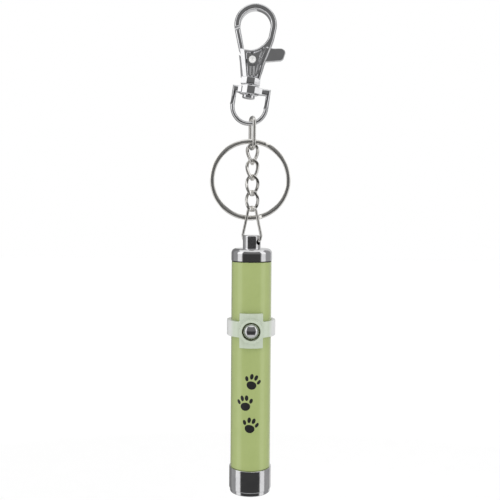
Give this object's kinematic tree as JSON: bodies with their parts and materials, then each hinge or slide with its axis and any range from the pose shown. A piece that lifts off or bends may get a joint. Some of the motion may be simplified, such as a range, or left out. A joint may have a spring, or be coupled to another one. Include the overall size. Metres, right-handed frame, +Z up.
{
  "type": "keychain light pointer",
  "caption": "Slim pen light with side push button, hung by a short twisted-link chain from a swivel spring clasp and a split ring.",
  "frame": {"origin": "inside top of the clasp's hook, where the object hangs", "axes": "+Z up along the hanging pen, +X to the right, -Y to the front with the button"},
  "size_m": [0.0264, 0.0172, 0.1584],
  "materials": {
    "chrome": "polished chrome plating",
    "nickel": "polished nickel plating",
    "tube_paint": "glossy yellow-green lacquer",
    "clip_plastic": "milky translucent soft plastic",
    "seal_rubber": "black rubber",
    "spring_steel": "bright spring wire",
    "cell_steel": "satin nickel-plated steel",
    "sleeve_film": "thin clear insulating film",
    "white_plastic": "white moulded plastic",
    "black_plastic": "matt black moulded plastic",
    "board": "green fibreglass board",
    "chip": "black resistor body",
    "contact": "brass contact",
    "lamp_resin": "clear lamp resin",
    "lens_clear": "clear lens",
    "film": "dark picture film"
  },
  "bodies": {
    "clasp": {"clasp_body": "chrome", "clasp_rivet": "chrome", "clasp_spring": "spring_steel", "swivel_pin": "chrome"},
    "trigger": {"clasp_trigger": "chrome"},
    "swivel": {"swivel_eye": "chrome"},
    "jump_link": {"oval_link": "nickel"},
    "ring": {"split_ring": "nickel"},
    "link_1": {"chain_link_1": "nickel"},
    "link_2": {"chain_link_2": "nickel"},
    "link_3": {"chain_link_3": "nickel"},
    "link_4": {"chain_link_4": "nickel"},
    "bail": {"wire_link": "nickel"},
    "tail": {"tail_cap": "chrome", "seal_ring": "seal_rubber", "cap_spring": "spring_steel"},
    "cells": {"cell_1": "cell_steel", "cell_2": "cell_steel", "cell_3": "cell_steel"},
    "barrel": {"barrel_tube": "tube_paint", "head_cap": "chrome", "lens": "lens_clear", "button_clip": "clip_plastic", "cell_sleeve": "sleeve_film", "carrier_front": "white_plastic", "carrier_back": "white_plastic", "circuit_board": "board", "resistor": "chip", "switch_body": "black_plastic", "contact_plate": "contact", "lamp": "lamp_resin", "shade_tube": "black_plastic", "film_ring": "black_plastic", "picture_film": "film", "lens_ring": "black_plastic"},
    "button": {"button_cap": "chrome", "switch_plunger": "white_plastic"}
  },
  "joints": [
    {"name": "trigger_pull", "type": "hinge", "parent": "clasp", "child": "trigger", "pos_m": [-0.00093, 0, -0.01581], "axis": [0, 1, 0], "range_deg": [0, 28], "stiffness_Nm_per_rad": 0.02, "springref_deg": -20.05, "deforming": ["clasp_spring"]},
    {"name": "swivel_turn", "type": "hinge", "parent": "clasp", "child": "swivel", "pos_m": [-0.0018, 0, -0.02538], "axis": [0.1323, 0, 0.9912], "continuous": true},
    {"name": "jump_link_swing", "type": "hinge", "parent": "swivel", "child": "jump_link", "pos_m": [-0.0008, 0, -0.03588], "axis": [1, 0, 0], "range_deg": [-45, 45]},
    {"name": "ring_swing", "type": "hinge", "parent": "jump_link", "child": "ring", "pos_m": [-0.0013, 0.0008, -0.0416], "axis": [0, 0.9981, 0.061], "range_deg": [-30, 30]},
    {"name": "link_1_swing", "type": "hinge", "parent": "jump_link", "child": "link_1", "pos_m": [-0.00065, -0.00066, -0.04403], "axis": [0, 1, 0], "range_deg": [-20, 20]},
    {"name": "link_2_swing", "type": "hinge", "parent": "link_1", "child": "link_2", "pos_m": [-0.00065, -0.00066, -0.04889], "axis": [0, -1, 0], "range_deg": [-20, 20]},
    {"name": "link_3_swing", "type": "hinge", "parent": "link_2", "child": "link_3", "pos_m": [-0.00065, -0.00066, -0.05392], "axis": [0, 1, 0], "range_deg": [-20, 20]},
    {"name": "link_4_swing", "type": "hinge", "parent": "link_3", "child": "link_4", "pos_m": [-0.00065, -0.00066, -0.05895], "axis": [0, -1, 0], "range_deg": [-20, 20]},
    {"name": "wire_link_swing", "type": "hinge", "parent": "link_4", "child": "bail", "pos_m": [-0.00065, -0.00066, -0.06398], "axis": [0, 1, 0], "range_deg": [-20, 20]},
    {"name": "pen_swing", "type": "hinge", "parent": "bail", "child": "tail", "pos_m": [-0.00065, -0.00066, -0.07375], "axis": [0.766, -0.6428, 0], "range_deg": [-70, 70]},
    {"name": "barrel_travel", "type": "slide", "parent": "tail", "child": "cells", "axis": [0, 0, -1], "range_m": [0, 0.003]},
    {"name": "barrel_unscrew", "type": "hinge", "parent": "cells", "child": "barrel", "pos_m": [-0.00065, -0.00066, -0.12], "axis": [0, 0, -1], "range_deg": [0, 1441]},
    {"name": "button_press", "type": "slide", "parent": "barrel", "child": "button", "axis": [0, 1, 0], "range_m": [0, 0.0005], "stiffness_N_per_m": 400, "springref_m": -0.002}
  ],
  "couplings": [
    {"joint": "barrel_unscrew", "follows": "barrel_travel", "rad_per_m": 8377.6}
  ]
}
